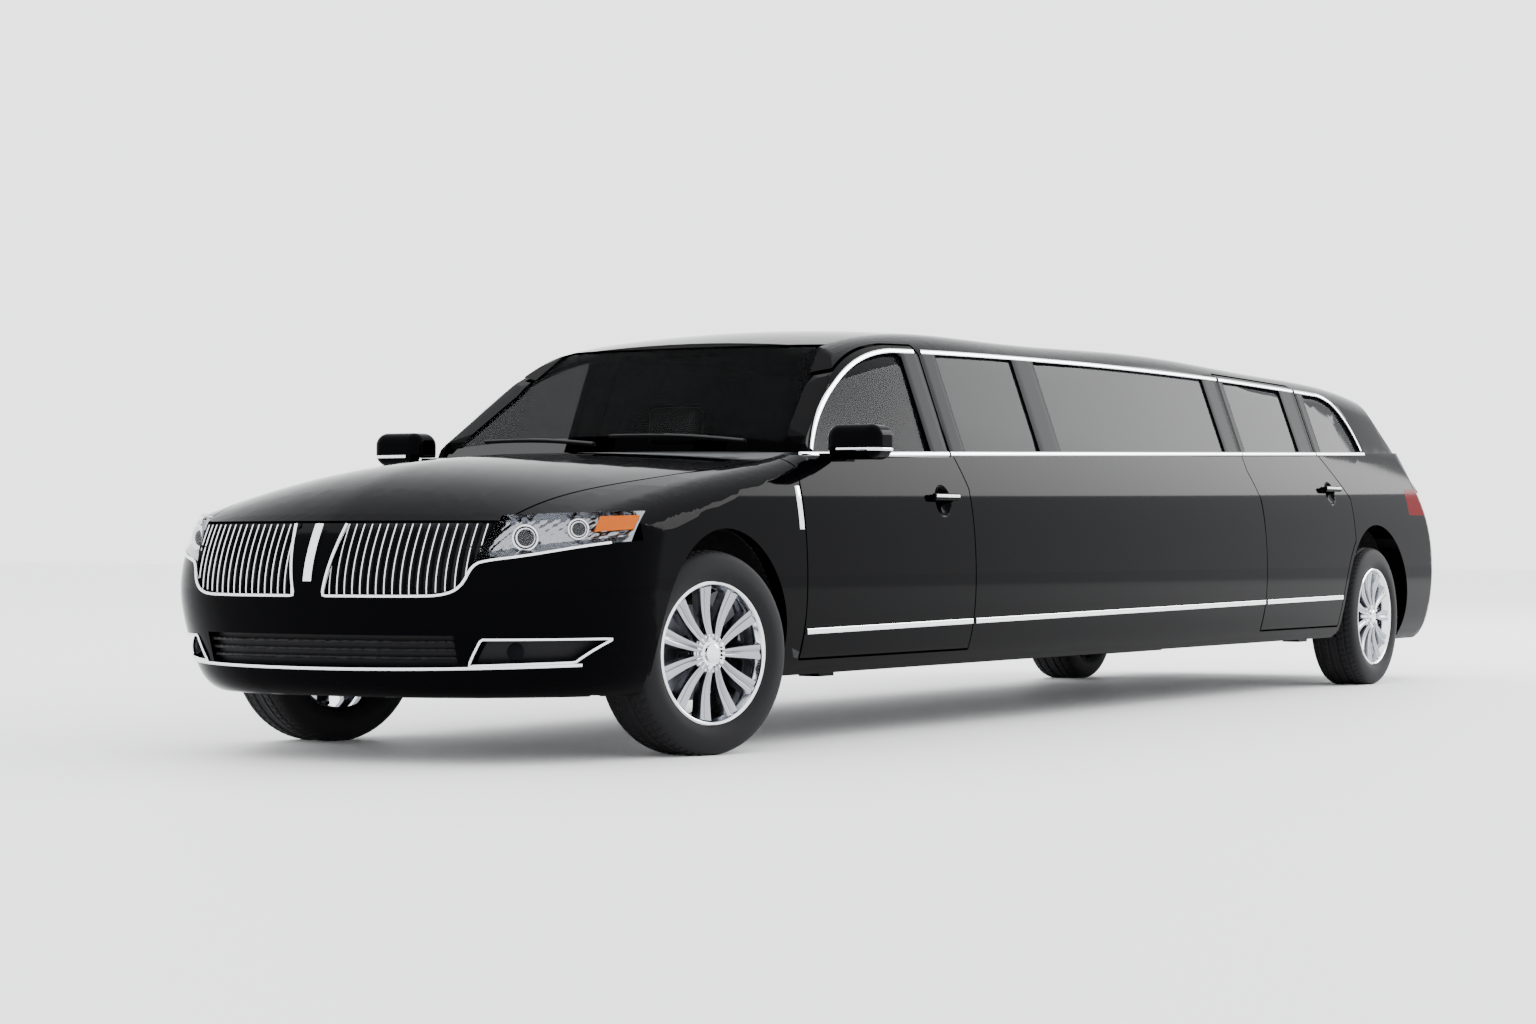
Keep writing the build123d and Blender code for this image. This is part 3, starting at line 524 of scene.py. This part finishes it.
grille_frame = sweep("grille_frame", frame_path, (0, -1, 0), *MOULDINGS["grille"])
both_sides(grille_frame, "grille_frame", CHROME, "body")
intake = patch("intake_back", 0.0, 0.538, lambda x: 0.347 + 0 * x, lambda x: 0.453 + 0 * x, POCKET_DEPTH)
both_sides(intake, "intake_back", BLACK, "body")
x = np.linspace(-0.86, 0.86, 120)
low_path = nose_point(x, 0.335 + 0.02 * np.abs(x) ** 2, -0.001)
put(sweep("intake_strip", low_path, (0, -1, 0), *MOULDINGS["intake"]), "intake_strip", CHROME, "body")
FOG_CORNERS = [(0.575, 0.350), (0.850, 0.360), (0.935, 0.441), (0.625, 0.441), (0.575, 0.350)]
fog_line = polyline(FOG_CORNERS, LINE_STEP)[:-1]
fog_path = nose_point(fog_line[:, 0], fog_line[:, 1], -0.001)
fog_frame = sweep("fog_frame", fog_path, (0.3, -1, 0), *MOULDINGS["fog"], closed=True)
both_sides(fog_frame, "fog_frame", CHROME, "body")
blade_z = np.linspace(0.640, 0.838, 30)
blade = sweep("nose_blade", nose_point(0 * blade_z, blade_z, -0.004), (0, -1, 0), *MOULDINGS["nose"])
put(blade, "nose_blade", CHROME, "body")


# Wheels: each piece is made round the X axis with its outer face to +X, then set on its hub
def revolved(name, profile, count):
    """A surface of a profile of (x, radius) turned round the X axis."""
    turn = np.linspace(0, 2 * np.pi, count, endpoint=False)[:, None]
    x = np.broadcast_to(profile[:, 0], (count, len(profile)))
    grid = np.stack([x, profile[:, 1] * np.cos(turn), profile[:, 1] * np.sin(turn)], -1)
    return surface(name, grid, wrap_u=True)


def tyre_mesh():
    """A tyre: a smooth section turned round the axle, less grooves round it and slanted cuts across it."""
    at = np.array([0.0, 0.5, 1.0, 1.35, 1.7, 3.0])
    half_x = cubic(at, [0.106, 0.126, 0.1265, 0.118, 0.101, 0.0])
    half_r = cubic(at, [0.256, 0.290, 0.328, 0.356, 0.3700, 0.3722])
    t = np.concatenate([np.linspace(0, 1.7, 14)[:-1], np.linspace(1.7, 3.0, 34)])
    x = np.concatenate([half_x(t), -half_x(t)[::-1][1:]])
    r = np.concatenate([half_r(t), half_r(t)[::-1][1:]])
    turn = np.linspace(0, 2 * np.pi, 360, endpoint=False)[:, None]
    groove = np.zeros_like(x)
    for centre in (-0.070, -0.026, 0.026, 0.070):
        groove = np.maximum(groove, 0.008 * np.exp(-((x - centre) / 0.0048) ** 4))
    shoulder = (np.abs(x) > 0.034) & (np.abs(x) < 0.108) & (r > 0.350)
    lug = 0.005 * (np.cos(72 * turn + 60 * np.abs(x)) > 0.72) * shoulder
    radius = r - np.maximum(groove, lug)
    grid = np.stack([np.broadcast_to(x, radius.shape), radius * np.cos(turn), radius * np.sin(turn)], -1)
    return surface("tyre", grid, wrap_u=True)


def spokes_mesh(count):
    """Wheel spokes: a ridged bar from hub to rim, its face dished, repeated round the axle."""
    u, v = np.meshgrid(np.linspace(0, 1, 24), np.linspace(-1, 1, 21), indexing="ij")
    r = 0.050 + 0.194 * u
    half = 0.0145 + 0.019 * u ** 0.9
    edge = np.clip((np.abs(v) - 0.78) / 0.22, 0, 1)
    face = 0.106 - 0.016 * np.sin(np.pi * u) * (1 - 0.3 * u)
    x = face - 0.040 * edge ** 2 - 0.0065 * np.exp(-(v / 0.22) ** 2)
    turn = 2 * np.pi * np.arange(count)[:, None, None] / count
    across = v * half
    grid = np.stack([
        np.broadcast_to(x, (count, *x.shape)),
        r * np.cos(turn) - across * np.sin(turn),
        r * np.sin(turn) + across * np.cos(turn)], -1)
    return joined("spokes", [surface(f"spoke_{n}", grid[n]) for n in range(count)])


RIM_PROFILE = np.array([
    (-0.105, 0.252), (-0.100, 0.240), (-0.060, 0.233), (0.070, 0.233), (0.092, 0.240), (0.104, 0.248),
    (0.111, 0.250), (0.1155, 0.254), (0.1165, 0.259), (0.113, 0.264), (0.106, 0.262)])
HUB_PROFILE = np.array([
    (0.060, 0.078), (0.090, 0.076), (0.098, 0.070), (0.100, 0.052), (0.101, 0.036), (0.110, 0.034),
    (0.115, 0.026), (0.117, 0.012), (0.1175, 0.0005)])
DISC_PROFILE = np.array([
    (-0.012, 0.070), (-0.012, 0.172), (-0.016, 0.175), (-0.034, 0.175), (-0.038, 0.172), (-0.038, 0.070)])
NUT_PROFILE = np.array([(0.096, 0.0105), (0.108, 0.0105), (0.111, 0.008), (0.112, 0.0005)])


def nuts_mesh(count, ring):
    """Wheel nuts: small domed pegs in a ring round the axle."""
    nuts = []
    for n in range(count):
        nut = revolved(f"nut_{n}", NUT_PROFILE, 12)
        turn = 2 * math.pi * (n + 0.5) / count
        nut.transform(Matrix.Translation((0, ring * math.cos(turn), ring * math.sin(turn))))
        nuts.append(nut)
    return joined("nuts", nuts)


WHEEL_PIECES = (
    ("tread", tyre_mesh(), RUBBER, "tyre", "tyre"),
    ("barrel", revolved("barrel", RIM_PROFILE, 120), CHROME, "rim", "rim"),
    ("spokes", spokes_mesh(11), SILVER, "rim", None),
    ("hub", revolved("hub", HUB_PROFILE, 60), CHROME, "rim", None),
    ("nuts", nuts_mesh(5, 0.054), CHROME, "rim", None),
    ("disc", revolved("disc", DISC_PROFILE, 80), DISC, "steel", None),
)
for side, sign in (("left", 1), ("right", -1)):
    flip = Matrix.Rotation(0 if sign > 0 else math.pi, 4, "Z")
    kingpin = Matrix.Translation((sign * (TRACK / 2 - KINGPIN_OFFSET), FRONT_AXLE, TYRE_R))
    steered = kingpin @ Matrix.Rotation(STEER_AT_REST, 4, "Z")
    turned = steered @ Matrix.Translation((sign * KINGPIN_OFFSET, 0, 0)) @ flip
    straight = Matrix.Translation((sign * TRACK / 2, REAR_AXLE, TYRE_R)) @ flip
    for end, place in (("front", turned), ("rear", straight)):
        for name, mesh, finish, slot, node in WHEEL_PIECES:
            placed = mesh.copy()
            placed.transform(place)
            replaced = [f"{end}_{side}_{node}"] if node else []
            put(placed, f"{end}_{side}_{name}", finish, f"{end}_{side}_wheel", replaced)


# Lamps
def lamp_low(x):
    """Height of a headlamp's lower edge at x."""
    return np.interp(x, [0.608, 1.010], [0.709, 0.790])


def lamp_high(x):
    """Height of a headlamp's upper edge at x."""
    return np.interp(x, [0.608, 0.655, 1.010], [0.709, 0.870, 0.890])


def lamp_sheet(name, inset, ripple):
    """A tray on the nose over a headlamp's outline, sunk by inset inside its rim, with a ripple both ways."""
    u, v = np.meshgrid(np.linspace(0, 1, 70), np.linspace(0, 1, 24), indexing="ij")
    x = 0.609 + u * (0.960 - 0.609)
    z = lamp_low(x) + v * (lamp_high(x) - lamp_low(x))
    rim = np.minimum(1, 14 * np.minimum(u, 1 - u)) * np.minimum(1, 6 * np.minimum(v, 1 - v))
    depth = (inset + ripple * np.cos(70 * u) * np.cos(26 * v)) * rim + 0.001 * (inset > 0)
    return surface(name, nose_point(x, z, 0.0) + np.stack([-0.5 * depth, depth, 0 * depth], -1))


lens = lamp_sheet("headlamp_lens", 0.0, 0.0)
right_lens = mirrored(lens, "headlamp_lens_right")
lenses = joined("headlamp_lenses", [lens, right_lens])
put(lenses, "headlamp_lenses", LENS, "body", ["headlamps"])
both_sides(lamp_sheet("headlamp_bowl", 0.045, 0.005), "headlamp_bowl", SILVER, "body")
PROJECTOR = np.array([
    (0.000, 0.046), (0.026, 0.048), (0.031, 0.046), (0.029, 0.040), (0.022, 0.036), (0.020, 0.033),
    (0.018, 0.0005)])
PUPIL = np.array([(0.019, 0.030), (0.026, 0.026), (0.031, 0.018), (0.034, 0.009), (0.035, 0.0005)])
for name, x, z in (("main", 0.735, 0.792), ("high", 0.855, 0.822)):
    eye = revolved(f"{name}_projector", PROJECTOR * (1.0 if name == "main" else 0.8), 40)
    at = nose_point(x, z, 0.0) + np.array([-0.020, 0.042, 0.0])
    eye.transform(Matrix.Translation(at) @ Matrix.Rotation(math.radians(-90 + 28), 4, "Z"))
    both_sides(eye, f"{name}_projector", CHROME, "body")
    pupil = revolved(f"{name}_pupil", PUPIL * (1.0 if name == "main" else 0.8), 32)
    pupil.transform(Matrix.Translation(at) @ Matrix.Rotation(math.radians(-90 + 28), 4, "Z"))
    both_sides(pupil, f"{name}_pupil", GLASS, "body")
u, v = np.meshgrid(np.linspace(0.80, 0.985, 24), np.linspace(0.40, 0.86, 12), indexing="ij")
x = 0.609 + u * (0.960 - 0.609)
z = lamp_low(x) + v * (lamp_high(x) - lamp_low(x))
both_sides(surface("amber_signal", nose_point(x, z, 0.003)), "amber_signal", AMBER, "body")
FOG = 0.7 * np.array([
    (0.0, 0.040), (0.012, 0.042), (0.016, 0.038), (0.014, 0.033), (0.018, 0.020), (0.020, 0.0005)])
FOG_HEADING = math.radians(-90 + 20)
fog = revolved("fog_lamp", FOG, 40)
fog.transform(Matrix.Translation(nose_point(0.700, 0.398, 0.030)) @ Matrix.Rotation(FOG_HEADING, 4, "Z"))
both_sides(fog, "fog_lamp", SATIN, "body")
fog_back = patch(
    "fog_back", 0.577, 0.925, lambda x: np.interp(x, [0.575, 0.850, 0.935], [0.352, 0.362, 0.438]),
    lambda x: np.interp(x, [0.575, 0.625, 0.935], [0.352, 0.439, 0.440]), POCKET_DEPTH)
both_sides(fog_back, "fog_back", BLACK, "body")

# Mirrors: glass and a bright band round the lower housing
MIRROR_AT = np.array([1.084, front_y(0.850), 1.164])
u, v = np.meshgrid(np.linspace(-1, 1, 24), np.linspace(-1, 1, 16), indexing="ij")
mirror_face = np.stack([0.086 * u * (1 - 0.14 * v ** 4), 0.0862 + 0 * u, 0.042 * v * (1 - 0.14 * u ** 4)], -1)
both_sides(surface("mirror_glass", MIRROR_AT + mirror_face), "mirror_glass", MIRROR, "front_left_door")
turn = np.linspace(-0.5 * np.pi, 0.5 * np.pi, 40)
corner = np.stack([0.064 + 0.052 * np.cos(turn), 0.031 * np.sign(turn) + 0.052 * np.sin(turn)], -1)
inner = np.array([(-0.060, -0.083)])
outer = np.array([(0.040, 0.083)])
plan = polyline(np.concatenate([inner, corner, outer]), 0.006)
band_path = MIRROR_AT + np.stack([plan[:, 0], plan[:, 1], np.full(len(plan), -0.030)], -1)
band_out = np.stack([np.clip(plan[:, 0] - 0.03, 0, None), plan[:, 1], 0 * plan[:, 0]], -1)
mirror_band = sweep("mirror_band", band_path, band_out, *MOULDINGS["mirror"])
both_sides(mirror_band, "mirror_band", CHROME, "front_left_door")

# Fender strips and handle strips
strip_z = np.linspace(0.826, 0.990, 24)
fender_path = side_point(front_y(0.555), strip_z, 0.001)
fender_strip = sweep("fender_strip", fender_path, (1, 0, 0), *MOULDINGS["fender"])
both_sides(fender_strip, "fender_strip", CHROME, "body")
HANDLES = (("front", front_y(1.759), 0.963), ("rear", rear_y(-0.633), 1.061))
for name, y, z in HANDLES:
    y = np.linspace(y - 0.104, y + 0.104, 30)
    path = np.stack([np.full(30, 1.0008 - (z - 0.963) * 0.2), y, np.full(30, z + 0.004)], -1)
    strip = sweep(f"{name}_handle_strip", path, (1, 0, 0), *MOULDINGS["handle"])
    both_sides(strip, f"{name}_handle_strip", CHROME, f"{name}_left_door")


# Wipers, tailgate strip and rear bumper strip
def screen_point(x, z, proud):
    """Points on the windshield, which leans back evenly and is bowed across."""
    x, z = np.broadcast_arrays(np.asarray(x, float), np.asarray(z, float))
    y = front_y(0.580) + 1.443 * (z - 1.06) + 6.0 - np.sqrt(36.0 - x ** 2)
    return np.stack([x, y, z], -1) + proud * SCREEN_OUT


SCREEN_OUT = np.array([0.0, -1.0, 1.443]) / math.hypot(1.0, 1.443)
WIPERS = (("left", 0.62, -0.02, 1.168, 1.198), ("right", -0.06, -0.64, 1.165, 1.185))
for name, x0, x1, z0, z1 in WIPERS:
    t = np.linspace(0, 1, 30)
    x = x0 + t * (x1 - x0)
    z = z0 + (z1 - z0) * t + 0.010 * np.sin(np.pi * t)
    blade = sweep(f"{name}_wiper_blade", screen_point(x, z, 0.004), SCREEN_OUT, *MOULDINGS["wiper"])
    arm_path = screen_point(x[:18], z[:18] - 0.006, 0.016)
    arm = sweep(f"{name}_wiper_arm", arm_path, SCREEN_OUT, *MOULDINGS["wiper_arm"])
    put(joined(f"{name}_wiper", [blade, arm]), f"{name}_wiper", BLACK, "body")
x = np.linspace(-0.70, 0.70, 80)
gate_strip = sweep("gate_strip", tail_point(x, 1.060, -0.002), (0, 1, 0), *MOULDINGS["gate"])
put(gate_strip, "gate_strip", CHROME, "liftgate")
x = np.linspace(-0.78, 0.78, 80)
bumper_strip = sweep("rear_bumper_strip", tail_point(x, 0.420, -0.001), (0, 1, 0), *MOULDINGS["bumper"])
put(bumper_strip, "rear_bumper_strip", CHROME, "body")


# Seats: stuffed pads on plain plinths
def rounded_box(size, voxel):
    """A closed box with rounded edges and even faces."""
    shape = bmesh.new()
    bmesh.ops.create_cube(shape, size=1.0, matrix=Matrix.Diagonal((*size, 1.0)))
    bmesh.ops.bevel(
        shape, geom=shape.edges[:], offset=0.32 * min(size), segments=4, profile=0.5, affect="EDGES")
    mesh = bpy.data.meshes.new("pad")
    shape.to_mesh(mesh)
    shape.free()
    block = bpy.data.objects.new("pad", mesh)
    bpy.context.scene.collection.objects.link(block)
    remesh = block.modifiers.new("remesh", "REMESH")
    remesh.mode = "VOXEL"
    remesh.voxel_size = voxel
    made = bpy.data.meshes.new_from_object(block.evaluated_get(bpy.context.evaluated_depsgraph_get()))
    bpy.data.objects.remove(block)
    return made


def stuffed(size, voxel, cap, channels):
    """A pad: a rounded box blown out as cloth round its filling, then drawn in along sewn channels.

    Each point stays within cap of where it began; a channel is a dip of gaussian section across the top.
    """
    mesh = rounded_box(size, voxel)
    start = np.empty(3 * len(mesh.vertices))
    mesh.vertices.foreach_get("co", start)
    start = start.reshape(-1, 3)
    moved = start
    block = bpy.data.objects.new("pad", mesh)
    bpy.context.scene.collection.objects.link(block)
    cloth = block.modifiers.new("cloth", "CLOTH")
    cloth.settings.quality = 4
    cloth.settings.use_pressure = True
    cloth.settings.uniform_pressure_force = 4.0
    cloth.settings.effector_weights.gravity = 0.0
    cloth.point_cache.frame_end = 20
    for step in range(1, 21):
        bpy.context.scene.frame_set(step)
    blown = bpy.data.meshes.new_from_object(block.evaluated_get(bpy.context.evaluated_depsgraph_get()))
    moved = np.empty(3 * len(blown.vertices))
    blown.vertices.foreach_get("co", moved)
    moved = moved.reshape(-1, 3)
    bpy.data.objects.remove(block)
    bpy.context.scene.frame_set(1)
    shift = moved - start
    reach = np.linalg.norm(shift, axis=1, keepdims=True)
    points = start + shift * np.minimum(1.0, cap / np.maximum(reach, 1e-9))
    top = np.clip(points[:, 2] / (size[2] / 2), 0, 1)
    for at in channels:
        points[:, 2] -= 0.012 * top * np.exp(-((points[:, 0] - at) / 0.010) ** 2)
    mesh.vertices.foreach_set("co", points.ravel())
    mesh.shade_smooth()
    return mesh


# Pads: name, size across, along and through, sewn channels
PAD_KINDS = {
    "base": ((0.48, 0.42, 0.15), (-0.13, 0.13)),
    "back": ((0.46, 0.52, 0.12), (-0.12, 0.12)),
    "rest": ((0.25, 0.16, 0.08), ()),
    "bench": ((0.62, 0.42, 0.15), (-0.16, 0.0, 0.16)),
    "bench_back": ((0.62, 0.36, 0.09), (-0.16, 0.0, 0.16)),
}
PADS = {name: stuffed(size, 0.012, 0.014, channels) for name, (size, channels) in PAD_KINDS.items()}


def place_pad(name, kind, at, lean, heading, replaces=()):
    """Set a pad at a place, leaning back about its width and turned about Z."""
    mesh = PADS[kind].copy()
    turn = Matrix.Rotation(math.radians(heading), 4, "Z") @ Matrix.Rotation(math.radians(lean), 4, "X")
    mesh.transform(Matrix.Translation(at) @ turn)
    put(mesh, name, LEATHER, "body", replaces)


def plinth(name, x, y, z, replaces=()):
    """A plain plinth under a seat, given by its ends along each axis."""
    lows, highs = np.array([x, y, z]).T
    mesh = rounded_box(highs - lows, 0.02)
    mesh.shade_smooth()
    mesh.transform(Matrix.Translation((lows + highs) / 2))
    put(mesh, name, BLACK, "body", replaces)


plinth("front_seat_base_left", (0.20, 0.62), (front_y(1.30), front_y(1.70)), (0.326, 0.50), ["front_seats"])
plinth("front_seat_base_right", (-0.62, -0.20), (front_y(1.30), front_y(1.70)), (0.326, 0.50))
for side, sign in (("left", 1), ("right", -1)):
    place_pad(f"{side}_seat_base", "base", (sign * 0.41, front_y(1.48), 0.565), 4, 0)
    place_pad(f"{side}_seat_back", "back", (sign * 0.41, front_y(1.785), 0.875), 79, 0)
    place_pad(f"{side}_head_rest", "rest", (sign * 0.41, front_y(1.905), 1.285), 82, 0)
plinth("rear_bench_base", (-0.74, 0.74), (rear_y(-1.23), rear_y(-0.62)), (0.326, 0.52), ["cabin_seats"])
plinth("side_bench_base", (-0.80, -0.36), (front_y(2.42), rear_y(-1.92)), (0.326, 0.52))
for n, x in enumerate((-0.37, 0.37)):
    place_pad(f"rear_bench_{n}", "bench", (x, rear_y(-1.02), 0.60), 4, 0)
    place_pad(f"rear_bench_back_{n}", "bench_back", (x, rear_y(-0.68), 0.93), 80, 0)
for n, y in enumerate(np.linspace(front_y(2.75), rear_y(-2.25), 4)):
    place_pad(f"side_bench_{n}", "bench", (-0.56, y, 0.60), 4, 90)
    place_pad(f"side_bench_back_{n}", "bench_back", (-0.755, y, 0.86), 82, 90)


# Floor, light and camera
def stage_plane(name, size, z):
    """A flat square at height z."""
    corner = size / 2
    corners = [(-corner, -corner, z), (corner, -corner, z), (corner, corner, z), (-corner, corner, z)]
    mesh = bpy.data.meshes.new(name)
    mesh.from_pydata(corners, [], [(0, 1, 2, 3)])
    return mesh


floor = bpy.data.objects.new("floor", stage_plane("floor", 160, 0.0))
bpy.context.scene.collection.objects.link(floor)
floor.data.materials.append(material("Pale studio floor", "f4f4f4", 0.55))


def area_light(name, at, towards, size, power):
    """A soft rectangular light at a place, facing another place."""
    light = bpy.data.lights.new(name, "AREA")
    light.shape = "RECTANGLE"
    light.size, light.size_y = size
    light.energy = power
    made = bpy.data.objects.new(name, light)
    made.location = at
    made.rotation_euler = (Vector(towards) - Vector(at)).to_track_quat("-Z", "Y").to_euler()
    bpy.context.scene.collection.objects.link(made)
    return made


area_light("shoulder", (7.6, 14.8, 8.2), (2.8, 13.3, 8.2), (14.0, 8.0), 3900)
world = bpy.data.worlds.new("studio")
bpy.context.scene.world = world
world.use_nodes = True
world.node_tree.nodes["Background"].inputs["Color"].default_value = linear("f6f7f9")
world.node_tree.nodes["Background"].inputs["Strength"].default_value = 3.0

camera = bpy.data.cameras.new("camera")
camera.lens = CAMERA_LENS
camera.sensor_width = 36
camera.clip_end = 500
viewer = bpy.data.objects.new("camera", camera)
viewer.location = CAMERA_AT
viewer.rotation_euler = (math.radians(90 + CAMERA_TILT), 0, math.radians(CAMERA_HEADING))
bpy.context.scene.collection.objects.link(viewer)
bpy.context.scene.camera = viewer
